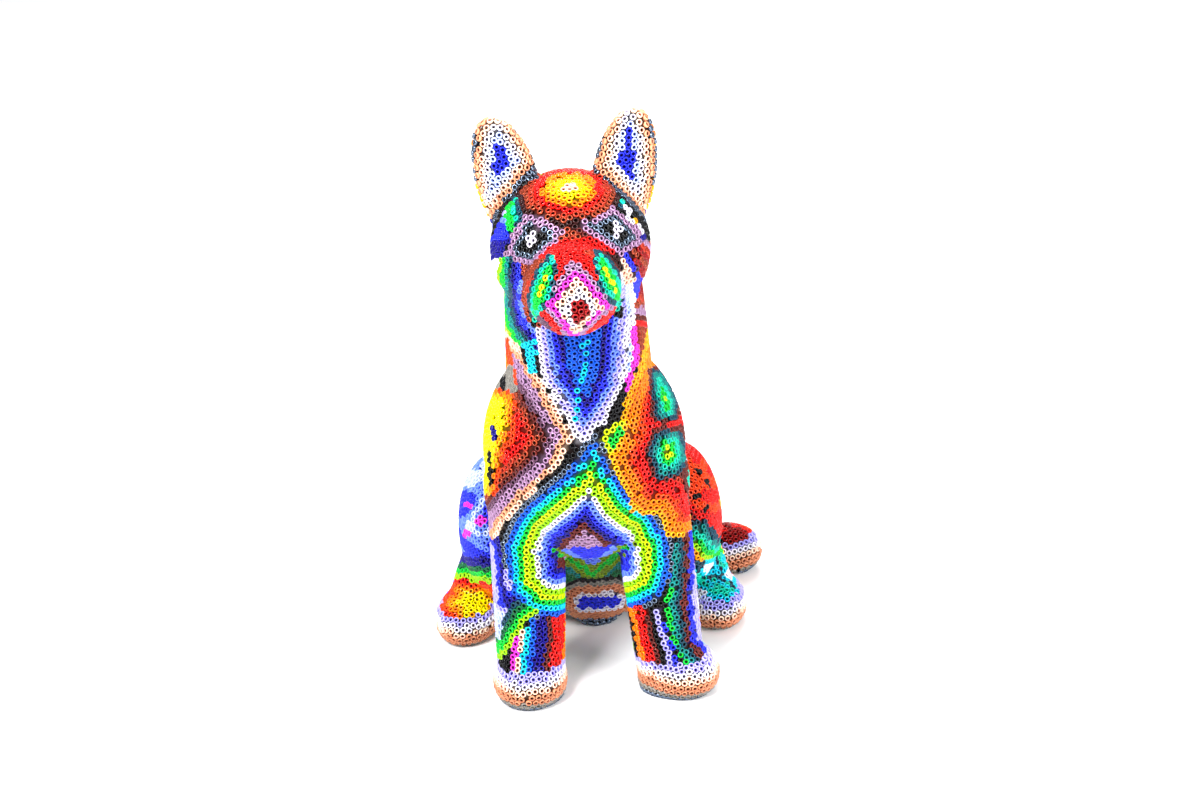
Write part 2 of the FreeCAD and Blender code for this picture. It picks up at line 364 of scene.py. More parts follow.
def oval(centre, radii, lobes=0, swell=0.0):
    """An oval, or a flower with lobes that swell and shrink its edge."""
    def depth(u, v):
        across, up = (u - centre[0]) / radii[0], (v - centre[1]) / radii[1]
        edge = 1 + swell * np.cos(lobes * np.arctan2(up, across)) if lobes else 1
        return (edge - np.hypot(across, up)) * min(radii)
    return depth


def capsule(a, b, radius):
    """Everything within a radius of a segment."""
    return lambda u, v: radius - to_segment(u, v, a, b)


def trail(half, *corners):
    """A band along a line with corners, half as wide on each side."""
    def depth(u, v):
        return half - np.min([to_segment(u, v, a, b) for a, b in zip(corners, corners[1:])], axis=0)
    return depth


def diamond(centre, half):
    """A diamond of two half widths."""
    scale = half[0] * half[1] / math.hypot(*half)
    return lambda u, v: scale * (1 - abs(u - centre[0]) / half[0] - abs(v - centre[1]) / half[1])


def nested(outer, inner, rows):
    """A shape with straight sides round a smaller one with as many: each side's distance is
    stretched so that the inner shape's side always lies the same number of rows inside."""
    lines = []
    for k, start in enumerate(outer):
        run = np.subtract(outer[(k + 1) % len(outer)], start)
        normal = np.array((run[1], -run[0])) / np.hypot(*run)
        reach = [normal @ np.subtract(inner[j % len(inner)], start) for j in (k, k + 1)]
        lines.append((start, normal, rows * SEEN_ROW / np.mean(reach)))

    def depth(u, v):
        sides = [((u - a[0]) * n[0] + (v - a[1]) * n[1]) * stretch for a, n, stretch in lines]
        return np.min(sides, axis=0)
    return depth


def leaf(a, b, half):
    """Where two equal circles through both tips overlap."""
    middle = np.add(a, b) / 2
    length = math.dist(a, b) / 2
    radius = (length ** 2 + half ** 2) / (2 * half)
    side = np.array((a[1] - b[1], b[0] - a[0])) / (2 * length) * (radius - half)

    def depth(u, v):
        far = [np.hypot(u - middle[0] - s * side[0], v - middle[1] - s * side[1]) for s in (-1, 1)]
        return radius - np.max(far, axis=0)
    return depth


def vee(tip, slope):
    """Above a V with its tip down."""
    scale = 1 / math.hypot(1, slope)
    return lambda u, v: ((v - tip[1]) - slope * abs(u - tip[0])) * scale


def zigzag(period, height, base=0.0):
    """The height over a zigzag line."""
    def depth(u, v):
        wave = abs((u / period) % 1 - 0.5) * 2 * height
        return v - base + wave
    return depth


def everywhere(u, v):
    return np.full(len(u), 0.5)


def patches(size, steps):
    """A cloudy field: a slow mix of waves, from none to the number of steps."""
    def depth(u, v):
        u, v = u / size, v / size
        mix = (np.sin(u * 1.7 + 1.3 * np.sin(v * 1.1)) + np.sin(v * 1.9 + 1.7 * np.sin(u * 0.9 + 2))
               + np.sin((u + v) * 1.3 + 4))
        return (mix / 6 + 0.5) * steps
    return depth


# ---------------- motifs
def on_front(place):
    return place.x, place.w, place.facing > 0


def on_back(place):
    return place.x, place.z, place.facing <= 0


def on_side(place):
    return place.y, place.z, np.ones(len(place.x), bool)


DRUM_BACK, DRUM_RADIUS = 45, 25


def around(place):
    """Round the figure's upright axis, in mm on a drum, and up."""
    return np.arctan2(place.x, place.y - DRUM_BACK) * DRUM_RADIUS, place.z, np.ones(len(place.x), bool)


GAP_TOP, GAP_FRONT = 59, 18


def in_gap(place):
    """The belly and the seat, seen between the front legs."""
    return place.x, place.w, (place.facing > 0) & (place.w < GAP_TOP) & (place.y > GAP_FRONT)


MOTIFS = []


def motif(parts, shape, colours, plane=on_front, halo=0, cycle=False, row=SEEN_ROW):
    """Adds a field of rows: the first colours lie outside its edge where it has a halo."""
    numbers = [k for k, part in enumerate(PARTS) if part in parts.split()]
    MOTIFS.append((numbers, shape, glass(colours), plane, halo, cycle, row))


def lay_out(place):
    """For each bead, the number of its topmost motif and how many rows deep in it it lies."""
    kind = np.zeros(len(place.x), int)
    level = np.zeros(len(place.x))
    for number, (parts, shape, colours, plane, halo, cycle, row) in enumerate(MOTIFS):
        u, v, allowed = plane(place)
        at = np.nonzero(allowed & np.isin(place.part, parts))[0]
        depth = shape(u[at], v[at]) / row + halo
        inside = depth > 0 if not cycle else np.ones(len(at), bool)
        kind[at[inside]] = number
        level[at[inside]] = depth[inside]
    return kind, level


def colour_of(kind, level):
    """The kind of glass for each bead."""
    found = np.zeros(len(kind), int)
    for number, (_, _, colours, _, _, cycle, _) in enumerate(MOTIFS):
        mine = kind == number
        step = np.floor(level[mine]).astype(int)
        found[mine] = colours[step % len(colours) if cycle else np.clip(step, 0, len(colours) - 1)]
    return found


FRONT = "torso left_front_leg right_front_leg"
RAINBOW = ("black navy royal cobalt cyan turquoise green lime yellow amber orange orange_red red "
           "copper_red brown mauve_dark mauve lilac white light_blue royal navy")


def everyday_bands():
    """The parts that the front doesn't show: zigzag bands, suns and nested diamonds."""
    motif("torso tail", zigzag(26, 9), RAINBOW, around, cycle=True, row=ROW)
    motif("head", zigzag(19.6, 6, 3), RAINBOW, around, cycle=True, row=ROW)
    motif("left_front_leg right_front_leg", zigzag(15, 6, 6), RAINBOW, around, cycle=True, row=ROW)
    motif("left_ear right_ear", everywhere, "mauve_dark", on_back)
    for side in (-1, 1):
        ear = "left_ear" if side < 0 else "right_ear"
        motif(ear, leaf((side * 17, 150), (side * 23.5, 199), 10.5),
              "black orange amber yellow lime turquoise cobalt", on_back)
    for step, centre in enumerate((96, 66, 36)):
        motif("torso", diamond((0, centre), (20, 17)), (
            "black red orange_red orange amber yellow lime",
            "black navy royal light_blue white cyan turquoise",
            "black magenta pink white lilac light_blue royal")[step], on_back)
    motif("head", diamond((0, 158), (21, 19)),
          "black orange_red orange amber yellow lime green turquoise", on_back)
    for side in (-1, 1):
        thigh = "left_hind_leg" if side < 0 else "right_hind_leg"
        waves, sun = (
            ("navy royal light_blue pale_blue light_blue royal",
             "black yellow amber orange orange_red red magenta pink white royal navy") if side < 0 else
            ("red orange_red orange amber yellow amber orange orange_red",
             "black navy cobalt cyan turquoise green lime yellow white red"))
        motif(thigh, zigzag(14, 4), waves, on_side, cycle=True, row=ROW)
        motif(thigh, oval((86, 38), (19, 17), 6, 0.09), sun, on_side, row=ROW)


def front_of_body():
    """Chest, shoulders and front legs, in mm of the drawing plane."""
    # the arch over the gap, its rows running down both legs and closing under each lobe
    motif(FRONT, outline(
        (-9, 36.3), (-17.9, 37), (-23.8, 41.8), (-26.6, 48), (-26.8, 59.4), (-22.9, 68.8),
        (-15.8, 75.4), (-5.5, 82.8), (3.2, 92.4), (7.9, 82.4), (12.3, 75), (20.6, 67),
        (24.6, 57.7), (24.4, 47.4), (20.7, 40.2), (13.2, 37.6), rim=15),
        "gunmetal cobalt cyan green yellow_lime lime white light_blue royal navy brown mauve*3",
        halo=1)
    # left shoulder: rows folded round a corner that points at the gap under the bib
    motif(FRONT, outline(
        (-25, 134), (-18.2, 124), (-14.2, 119), (-11.4, 113), (-8, 105.6), (-3, 93), (-6.2, 88.2),
        (-11.5, 81.8), (-22.6, 72.7), (-27, 66.7), (-30.8, 58.8), (-33, 52), (-55, 52), (-55, 134),
        rim=11),
        "cream peach mauve*2 mauve_dark brown copper copper_red red*2 orange_red orange amber yellow",
        row=1.5)
    motif("torso", outline((-20.5, 126), (-18.6, 113), (-20.5, 104), (-23, 99), (-40, 99), (-40, 126),
                           rim=3), "orange_red orange amber orange orange_red red orange_red*9")
    motif("torso", outline((-19.6, 117.5), (-19, 109.5), (-24, 105.8), (-24.3, 99),
                           (-27.5, 108), (-27, 115)), "grey")
    motif("torso left_front_leg", outline((-25, 110), (-19.6, 109), (-20.6, 99), (-23.6, 92),
                                          (-26.2, 84), (-28, 77), (-50, 77), (-50, 110), rim=5),
          "orange_red orange amber yellow*9", row=1.1)
    motif("torso", trail(0.9, (-23.8, 113.5), (-23.6, 110.5)), "black")
    motif("torso", trail(1.0, (-27.6, 97.5), (-27.3, 95.5)), "navy")
    motif("torso left_front_leg", trail(0.8, (-29.4, 90), (-29.6, 80)), "black")
    # right shoulder: a red field with a stepped edge and two nested squares
    motif(FRONT, outline(
        (23, 134), (20.8, 125), (18, 114), (13.7, 106.2), (12.3, 99.5), (12.4, 96.1), (10, 91),
        (7.7, 86.8), (8.6, 82.4), (10.9, 77.9), (13.4, 69.9), (15.8, 68), (22.3, 67.5),
        (23, 60.7), (33, 58.6), (55, 56), (55, 134), rim=15),
        "amber orange*2 orange_red red*3 copper_red red*9")
    squares = "brown dark_teal teal turquoise green yellow_lime yellow"
    motif("torso", outline((20.4, 114), (26.6, 113.6), (31.2, 103.5), (30, 96.2), (21.6, 96)), squares,
          row=0.95)
    motif("torso right_front_leg", outline((17.9, 87.6), (21.3, 94.9), (31.2, 95.4), (34, 84),
                                           (29.3, 78.6), (21.6, 77.6)), squares, row=1.2)
    motif("torso right_front_leg", outline((31, 84), (40, 84), (40, 69), (31.4, 69), (29.8, 77)),
          "brown turquoise teal dark_teal", row=1.4)
    motif("torso", outline((6.6, 88.2), (6.2, 94.9), (8.8, 97.2), (13, 98.4), (12.5, 94.2),
                           (9.4, 89.5), rim=3), "yellow_lime green*2")
    motif("torso", trail(0.9, (17, 126), (17.6, 119.8), (16.6, 115), (14, 107)), "magenta")
    # bib
    motif(FRONT, outline(
        (-12, 130), (-11.6, 118.4), (-10.9, 112.5), (-7.7, 104.9), (-4.4, 98.3), (-1.7, 92.6),
        (1, 92.4), (4, 95.4), (6.7, 97.8), (9.7, 102.7), (12.6, 108), (14.8, 115.7), (16.4, 130),
        rim=12), "white lilac light_blue royal navy cobalt*9")
    motif("torso", outline((-16.6, 123.4), (-12.2, 125), (-11.9, 114.2), (-14.2, 113.6)),
          "cyan turquoise")
    motif("torso", trail(0.7, (-16.4, 122.4), (-15.2, 117.6)), "black")


def front_of_legs():
    """The slanting rows under the arch and the seat between the legs."""
    left, right = "left_front_leg", "right_front_leg"
    motif(left, outline((-9.2, 36.2), (-9.8, 28), (-12.4, 12), (-40, 12), (-40, 20.5),
                        (-19.6, 36.4), rim=2),
          "orange red*2 brown navy*2 cobalt cyan cream magenta black")
    motif(left, outline((-18.6, 38.8), (-22, 35.4), (-32.6, 20.4), (-50, 20.4), (-50, 52), (-26.8, 52),
                        (-25, 43), rim=2), "lime green dark_green dark_teal navy royal lilac*2")
    motif(left, outline((-27.6, 42), (-27.6, 60), (-29, 63), (-50, 63), (-50, 30), (-30.6, 30), rim=2),
          "navy royal lilac pale_blue", row=1.3)
    motif(right, outline((11.6, 38), (13, 27.5), (16, 12), (30, 12), (26, 20), (22.6, 30),
                         (20.4, 37.4), rim=2), "orange red*2 brown black lilac royal black", row=1.5)
    motif(right, outline((36, 64), (35.4, 50), (34, 38), (34.8, 27), (40, 19), (52, 14), (30, 12),
                         (27, 18), (23.6, 27), (20.6, 34.6), (19.4, 38.6), (23, 43.8), (25.6, 50),
                         (25.9, 58), rim=5),
          "white lilac royal brown dark_teal teal green black*4", row=1.62)
    motif("torso", everywhere, "dark_green", in_gap)
    motif("torso", vee((0, 51), 0.85), "dark_green teal olive green olive light_blue royal*9", in_gap,
          halo=5)
    motif("torso", capsule((-3.8, 37.2), (6.4, 37.2), 9.3), "black grey tan*2 white royal",
          in_gap, row=1.45)


def soles():
    """Rows along the floor round every foot, the tail and the seat."""
    for feet, top in (("left_front_leg right_front_leg", 12.3), ("left_hind_leg right_hind_leg", 10.6),
                      ("tail", 12.6)):
        motif(feet, lambda u, v, top=top: top - v, "lilac white cream tan*2 grey gunmetal*2",
              lambda place: (place.x, place.z, place.z < 15), row=1.72)
    motif("torso", lambda u, v: 6 - v, "tan gunmetal*3", lambda place: (place.x, place.z, place.y > 70))


def hind_legs_and_tail():
    left, right = "left_hind_leg", "right_hind_leg"
    motif(left, patches(5, 8), "navy royal*2 light_blue pale_blue light_blue royal navy",
          cycle=True, row=1)
    for spot in ((-40, 72), (-41, 62.8), (-36, 67)):
        motif(left, oval(spot, (1.5, 1.5)), "magenta")
    motif(left, outline((-60, 57), (-20, 57), (-20, 30), (-60, 30), rim=1),
          "royal navy*2 dark_green green lime")
    motif(left, oval((-41, 38), (12.5, 8.6), 6, 0.09), "red orange_red orange amber yellow", row=1.25)
    motif(right, patches(6, 6), "red*2 orange_red red dark_red red", cycle=True, row=1)
    motif(right, outline((44, 90), (43.5, 66), (60, 66), (60, 90), rim=2),
          "amber orange orange_red red*5")
    for spot in ((37, 78), (39.6, 74), (36.4, 70.5), (38.4, 66)):
        motif(right, oval(spot, (1.2, 1.2)), "black")
    motif(right, outline((20, 63), (38.6, 62), (42.5, 56), (60, 56), (60, 20), (20, 20), rim=3),
          "dark_teal teal turquoise green lime amber orange_red royal cobalt cyan")
    motif(right, patches(3.2, 7), "turquoise cyan turquoise dark_teal cyan white pale_blue",
          lambda place: (place.x, place.w, (place.facing > 0) & (place.w < 49)), cycle=True, row=1)
    motif("tail", patches(6, 5), "red orange_red red dark_red red", lambda place: (
        place.x, place.y, place.z > 0), cycle=True, row=1)
    motif("tail", trail(1.6, (40, 56), (44, 50.5), (52, 49)), "black dark_brown")


def brow_sun(u, v):
    """An oval whose upper half is flatter than its lower half."""
    across, middle, half, up, down = 0.6, 168.4, 13.9, 8.8, 10.2
    return (1 - np.hypot((u - across) / half, (v - middle) / np.where(v > middle, up, down))) * down


def front_of_head():
    """The face: muzzle and nose, leaves, cheeks, eyes and brow."""
    head, neck = "head", "head torso"
    motif(head, oval((0.6, 156), (20.5, 24)), "black")
    # muzzle: rows round a nose diamond, with a leaf on each side
    motif(head, nested(((1.1, 146.6), (11.7, 132.7), (-1.2, 122.6), (-9.2, 135)),
                       ((2.2, 134.8), (4.7, 131.4), (0.7, 127.6), (-1.9, 131.7)), 4),
          "dark_brown*2 brown copper copper_red red*2 mauve magenta cream white dark_red*3", halo=7)
    motif(head, outline((-15, 130.5), (-9, 131.4), (-4.4, 124.8), (-3, 120), (-20, 112), rim=3),
          "mauve_dark white pale_blue lilac")
    for tips in (((-4.2, 149.2), (-12.6, 128)), ((7, 149.6), (14.3, 129.6))):
        motif(head, leaf(*tips, 3.5), "dark_teal turquoise green yellow", row=0.98)
    motif(head, outline((-12.6, 146.8), (-6.6, 149.8), (-3.6, 152.4), (-1, 152.2), (1, 151),
                        (4.6, 153.6), (8, 152.2), (13, 148), (4.6, 148.4), (-2.6, 148.4), rim=8),
          "red*2 copper_red*2")
    # left cheek and temple
    motif(neck, outline((-13.2, 147.6), (-14.2, 142), (-14.8, 136), (-13.6, 130.5), (-10, 124.6),
                        (-13, 120), (-40, 116), (-40, 157), (-22, 157), (-19.6, 151), rim=4),
          "light_blue royal navy dark_teal teal green lime white*2 lime green teal", row=1.15)
    motif(head, trail(0.85, (-13.6, 146), (-13.4, 142), (-14.2, 137), (-13.4, 131), (-10.4, 127.6)),
          "copper")
    motif(head, outline((-30, 166.5), (-16.6, 166.5), (-16.6, 156), (-19.4, 150), (-24, 150),
                        (-30, 154), rim=1),
          "black light_blue lilac light_blue royal*3 navy*2", row=1.7)
    motif(head, outline((-13.4, 171.5), (-12.6, 160), (-17, 155), (-18, 162), (-16.6, 170)),
          "dark_teal turquoise")
    motif(head, trail(1.0, (-16.4, 169.4), (-17.6, 162), (-17, 155.6)), "green")
    # right cheek and temple
    motif(neck, outline((15.4, 148.8), (20.4, 142.4), (18.6, 136), (17.6, 128), (16.6, 116),
                        (40, 116), (40, 152), (22, 152), rim=4),
          "dark_red copper dark_red copper_red mauve copper", row=1.6)
    motif(neck, outline((16, 136), (40, 136), (40, 126.6), (16, 127), rim=1),
          "copper_red copper mauve*2 brown red*2", row=1.5)
    motif(neck, outline((13.2, 143), (17.6, 140.6), (18, 131), (16.6, 112), (13.6, 112), (13.4, 126),
                        (14.6, 133), rim=4), "white pale_blue lilac", row=1.5)
    motif(head, outline((13.6, 146.6), (16.8, 146.2), (18.8, 139), (15.6, 139.6)), "cream amber")
    motif(head, trail(0.8, (15.4, 149.6), (17, 145.6), (19.4, 141.6), (18, 136.4)), "royal magenta")
    motif(head, outline((12.8, 172), (14.4, 161.6), (17.4, 159.6), (18, 164), (16, 169.6)),
          "dark_teal turquoise")
    motif(head, outline((17, 164), (16.6, 159), (20, 154.4), (40, 152.4), (40, 164), rim=3),
          "white amber orange*2 lilac", row=1.6)
    # brow
    motif(head, oval((0.6, 168), (15.4, 11.8)), "dark_brown")
    motif(head, brow_sun, "copper copper_red red orange amber yellow cream", row=1.42)
    # eyes
    patch = "mauve gunmetal black*3"
    motif(head, outline((-19.4, 149.8), (-16.9, 155.2), (-12, 161.4), (-0.3, 155.4), (-10.6, 145.8),
                        (-13.3, 146.8)), patch)
    motif(head, outline((12.9, 162.6), (20.4, 155.6), (20.8, 152), (18.7, 149.8), (14.1, 147.2),
                        (4, 155.4), (4, 157.8), (6.6, 158.9)), patch)
    # where the ears join
    for trace in (((-8, 177), (-13.8, 172.6), (-18.3, 166.6), (-21.4, 161.4), (-24.2, 156.6)),
                  ((7.4, 176.6), (11.9, 173), (16.2, 167), (20.9, 159.8), (23.7, 154))):
        motif(head, trail(1.5, *trace), "black gunmetal")


def front_of_ears():
    """Rows that follow the ears' edges round a blue heart."""
    rows = "gunmetal peach cream white pale_blue royal*4"
    for ear, edge in (
            ("left_ear", ((-22.5, 195.5), (-26.6, 190), (-28.4, 180), (-28.2, 168), (-25, 155),
                          (-21.5, 161.4), (-18.2, 166.9), (-13, 172.1), (-7.4, 177.6), (-9.8, 182.4),
                          (-13.3, 187.6), (-16.8, 194))),
            ("right_ear", ((21.5, 199), (15.5, 193), (11.8, 184.1), (9.7, 179.2), (8, 176),
                           (14.1, 167.8), (20.5, 160.2), (24.6, 155.3), (26.8, 168.3),
                           (28, 179.1), (26.8, 190)))):
        motif(ear, everywhere, "gunmetal")
        motif(ear + " head", outline(*edge), rows, row=1.4)


everyday_bands()
motif(FRONT, everywhere, "black")
front_of_head()
front_of_body()
front_of_legs()
hind_legs_and_tail()
soles()
front_of_ears()


# ---------------- laying the beads
def scatter(points, faces, spacing):
    """Random places on a mesh, as many as beads packed in hexagons would need."""
    a, b, c = (points[faces[:, k]] for k in range(3))
    area = np.linalg.norm(np.cross(b - a, c - a), axis=1) / 2
    count = int(area.sum() / (spacing ** 2 * math.sqrt(3) / 2))
    pick = rng.choice(len(faces), count, p=area / area.sum())
    u, v = rng.random((2, count))
    fold = u + v > 1
    u[fold], v[fold] = 1 - u[fold], 1 - v[fold]
    return a[pick] + u[:, None] * (b - a)[pick] + v[:, None] * (c - a)[pick]


def close_pairs(points, reach):
    """Index pairs of points nearer than reach, found by sorting them into cells."""
    cell = ((points - points.min(0)) / reach).astype(int) + 1
    shape = cell.max(0) + 2
    key = np.ravel_multi_index(cell.T, shape)
    order = np.argsort(key, kind="stable")
    sorted_key = key[order]
    firsts, seconds = [], []
    half = [shift for shift in np.ndindex(3, 3, 3) if shift >= (1, 1, 1)]
    for shift in half:
        step = np.array(shift) - 1
        other = np.ravel_multi_index((cell + step).T, shape)
        start = np.searchsorted(sorted_key, other, "left")
        stop = np.searchsorted(sorted_key, other, "right")
        for k in range(int((stop - start).max())):
            mine = np.nonzero(stop - start > k)[0]
            theirs = order[start[mine] + k]
            if not step.any():
                keep = mine < theirs
                mine, theirs = mine[keep], theirs[keep]
            firsts.append(mine)
            seconds.append(theirs)
    one, two = np.concatenate(firsts), np.concatenate(seconds)
    near = ((points[one] - points[two]) ** 2).sum(1) < reach ** 2
    return one[near], two[near]


def add_up(index, values, count):
    """Sums of vectors by index."""
    return np.stack([np.bincount(index, values[:, k], count) for k in range(3)], 1)


NEIGHBOURS = PITCH * 1.6
PUSH, PULL = 0.42, 0.18          # the share of each correction made in one round
LONGEST_STEP = 0.5
EVENING_OUT = 0.7                # after this share of the rounds, beads are only pushed apart
FLAT, STEEP = 0.6, 1.45          # rows narrower or wider than this aren't followed


def pack(points, rounds, lowest):
    """Beads pushed apart to the pitch and drawn sideways onto the rows of their motif."""
    for turn in range(rounds):
        if turn % 3 == 0:
            one, two = close_pairs(points, NEIGHBOURS)
        if turn % 12 == 0:
            part = nearest_part(points)
        gap = points[two] - points[one]
        apart = np.maximum(np.linalg.norm(gap, axis=1), 1e-6)
        push = np.clip(PITCH - apart, 0, None) * PUSH
        move = (push / apart)[:, None] * gap
        shift = add_up(two, move, len(points)) - add_up(one, move, len(points))
        if rounds // 4 < turn < rounds * EVENING_OUT:
            shift += row_pull(points, part) * PULL
        far = np.linalg.norm(shift, axis=1)
        shift *= np.minimum(1, LONGEST_STEP / np.maximum(far, 1e-9))[:, None]
        points = surface.settle(points + shift)
        points[:, 2] = np.maximum(points[:, 2], lowest)
    return points


def row_pull(points, part):
    """The step that brings each bead to the middle of its row, along the surface.

    The rows' slope is measured by moving each bead a little along each axis.
    """
    reach = 0.25
    _, normal = surface.look(points)
    kind, level = lay_out(Place(points, normal, part))
    slope = np.zeros_like(points)
    same = np.ones(len(points), bool)
    for axis in range(3):
        moved = points.copy()
        moved[:, axis] += reach
        kind_there, there = lay_out(Place(moved, normal, part))
        slope[:, axis] = (there - level) / reach
        same &= kind_there == kind
    slope -= (slope * normal).sum(1)[:, None] * normal
    steep = np.linalg.norm(slope, axis=1)
    wanted = np.floor(level) + 0.5
    usable = same & (steep * ROW > FLAT) & (steep * ROW < STEEP)
    step = np.where(usable, (wanted - level) / np.maximum(steep, 0.3) ** 2, 0)
    return step[:, None] * slope


def thin_out(points, least):
    """Drops one bead of each pair that is nearer than least."""
    one, two = close_pairs(points, least)
    keep = np.ones(len(points), bool)
    for a, b in zip(one, two):
        if keep[a] and keep[b]:
            keep[b] = False
    return points[keep]


# ---------------- bead meshes
def ring_profile():
    """One bead: an oval section carried round the hole. Returns vertices and quads."""
    middle = (BEAD_RADIUS + HOLE_RADIUS) / 2
    half = (BEAD_RADIUS - HOLE_RADIUS) / 2
    around = np.arange(RING_STEPS) * 2 * math.pi / RING_STEPS
    section = np.array([(half, 0.12), (0.05, 0.5), (-half, 0.1), (0, -0.5)])
    steps = len(section)
    radius = middle + section[:, 0]
    points = np.stack([
        np.outer(np.cos(around), radius),
        np.outer(np.sin(around), radius),
        np.tile(section[:, 1] * BEAD_HEIGHT, (RING_STEPS, 1))], -1).reshape(-1, 3)
    i, j = np.meshgrid(np.arange(RING_STEPS), np.arange(steps), indexing="ij")
    ni, nj = (i + 1) % RING_STEPS, (j + 1) % steps
    quads = np.stack([i * steps + j, ni * steps + j, ni * steps + nj, i * steps + nj], -1)
    inner = np.tile(np.arange(steps) == 2, RING_STEPS)
    u = np.stack([i, i + 1, i + 1, i], -1) / RING_STEPS
    v = np.stack([j, j, j + 1, j + 1], -1) / steps
    return points, quads.reshape(-1, 4), inner, np.stack([u, v], -1).reshape(-1, 2)


def frames_at(normals):
    """For each bead three axes of a frame: two along the surface, turned at random, and the normal."""
    helper = np.where(np.abs(normals[:, 2:3]) < 0.8, [[0.0, 0.0, 1.0]], [[1.0, 0.0, 0.0]])
    side = np.cross(helper, normals)
    side /= np.linalg.norm(side, axis=1)[:, None]
    other = np.cross(normals, side)
    turn = rng.random(len(normals))[:, None] * 2 * math.pi
    return np.cos(turn) * side + np.sin(turn) * other, np.cos(turn) * other - np.sin(turn) * side


TILT, SIZE_SPREAD = 0.06, 0.02
CELL_MARGIN = 0.1


def bead_mesh(name, points, normals, colours, lining_and_shade, shine):
    """Rings at the given points. Colours, hole colours (painted shade inside the hole, and for
    colour-lined beads the lining's own colour) and finish go into attributes, and each
    bead has its own cell in the UV map: around the ring by across its section."""
    ring, quads, inner, ring_uv = ring_profile()
    lean = normals + rng.normal(0, TILT, normals.shape)
    lean /= np.linalg.norm(lean, axis=1)[:, None]
    right, ahead = frames_at(lean)
    scale = rng.normal(1, SIZE_SPREAD, (len(points), 1, 1)).clip(0.95, 1.03)
    local = ring[None] * scale
    placed = (points + lean * BEAD_LIFT)[:, None] + (
        local[..., 0:1] * right[:, None] + local[..., 1:2] * ahead[:, None]
        + local[..., 2:3] * lean[:, None])
    faces = (quads[None] + np.arange(len(points))[:, None, None] * len(ring)).reshape(-1, 4)
    mesh = mesh_from(name, placed.reshape(-1, 3) * MM, faces)
    # the hole's inner wall takes the hole colour: painted shade, and the lining's own colour in
    # colour-lined beads
    tint = np.where(inner[None, :, None], lining_and_shade[:, None], colours[:, None])
    tint = np.concatenate([tint, np.ones(tint.shape[:2] + (1,))], -1)
    layer = mesh.color_attributes.new("bead_colour", "FLOAT_COLOR", "POINT")
    layer.data.foreach_set("color", tint.astype(np.float32).ravel())
    for word, values in shine.items():
        layer = mesh.attributes.new(word, "FLOAT", "POINT")
        layer.data.foreach_set("value", np.repeat(values, len(ring)).astype(np.float32))
    columns = math.ceil(math.sqrt(len(points)))
    number = np.arange(len(points))
    cell = np.stack([number % columns, number // columns], -1)[:, None]
    uv = (cell + CELL_MARGIN + (1 - 2 * CELL_MARGIN) * ring_uv[None]) / columns
    layer = mesh.uv_layers.new(name="OFBake")
    layer.data.foreach_set("uv", uv.astype(np.float32).ravel())
    return mesh


# ---------------- the beads themselves
LOWEST = 1.05            # a bead's centre is never nearer to the floor, mm
UNDER, SOLE = -0.75, 8   # no beads where the skin faces down this steeply, nearer the floor than this
SCATTER = PITCH * 0.93   # a little closer than the pitch, so that no gaps stay
NEAREST = PITCH * 0.72
ROUNDS = 100

places = scatter(skin_points, skin_faces, SCATTER)
_, facings = surface.look(places)
places = places[(facings[:, 2] > UNDER) | (places[:, 2] > SOLE)]
places = pack(places, ROUNDS, LOWEST)
places = thin_out(places, NEAREST)
_, facings = surface.look(places)
owner = nearest_part(places)
where = Place(places, facings, owner)
kind, level = lay_out(where)
tint = colour_of(kind, level)


EYES = ((-10.9, 153.6), (14, 155.2))
DOT = 1.45


def single_beads(tint):
    """Beads picked one by one: the whites of the eyes and the bib's dotted middle line."""
    head = np.isin(owner, [PARTS.index("head")]) & (where.facing > 0)
    for centre in EYES:
        far = np.hypot(where.x - centre[0], where.w - centre[1]) + 100 * ~head
        tint[np.argsort(far, kind="stable")[:4]] = glass("white")[0]
    line = trail(1.0, (2.9, 124), (2, 116), (0.4, 110), (-0.9, 103.5), (-1.6, 99))
    bib = np.isin(owner, [PARTS.index("torso")]) & (where.facing > 0)
    on_line = bib & (line(where.x, where.w) > 0)
    dotted = on_line & (np.floor(where.w / DOT) % 2 == 0)
    tint[dotted] = glass("cyan")[0]
    return tint


tint = single_beads(tint)


# ---------------- materials
def shader_material(name):
    """A material with nodes and its Principled shader, node tree and links."""
    material = bpy.data.materials.new(name)
    material.use_nodes = True
    tree = material.node_tree
    return material, tree, tree.nodes["Principled BSDF"]


def attribute_node(tree, name, kind="GEOMETRY"):
    node = tree.nodes.new("ShaderNodeAttribute")
    node.attribute_name = name
    node.attribute_type = kind
    return node


def surface_detail():
    """A group: soft unevenness for glass, wax and wood, as a mask and a bumped normal."""
    group = bpy.data.node_groups.new("fine unevenness", "ShaderNodeTree")
    face = group.interface
    for name, kind, default in (("Scale", "NodeSocketFloat", 500), ("Depth", "NodeSocketFloat", 0.1)):
        face.new_socket(name, in_out="INPUT", socket_type=kind).default_value = default
    face.new_socket("Mask", in_out="OUTPUT", socket_type="NodeSocketFloat")
    face.new_socket("Normal", in_out="OUTPUT", socket_type="NodeSocketVector")
    nodes, links = group.nodes, group.links
    inside, outside = nodes.new("NodeGroupInput"), nodes.new("NodeGroupOutput")
    spot = nodes.new("ShaderNodeTexCoord")
    noise = nodes.new("ShaderNodeTexNoise")
    noise.inputs["Detail"].default_value = 3
    bump = nodes.new("ShaderNodeBump")
    bump.inputs["Distance"].default_value = 0.0003
    links.new(spot.outputs["Object"], noise.inputs["Vector"])
    links.new(inside.outputs["Scale"], noise.inputs["Scale"])
    links.new(noise.outputs["Fac"], bump.inputs["Height"])
    links.new(inside.outputs["Depth"], bump.inputs["Strength"])
    links.new(noise.outputs["Fac"], outside.inputs["Mask"])
    links.new(bump.outputs["Normal"], outside.inputs["Normal"])
    return group


DETAIL = surface_detail()


def detail_node(tree, scale, depth):
    node = tree.nodes.new("ShaderNodeGroup")
    node.node_tree = DETAIL
    node.inputs["Scale"].default_value = scale
    node.inputs["Depth"].default_value = depth
    return node


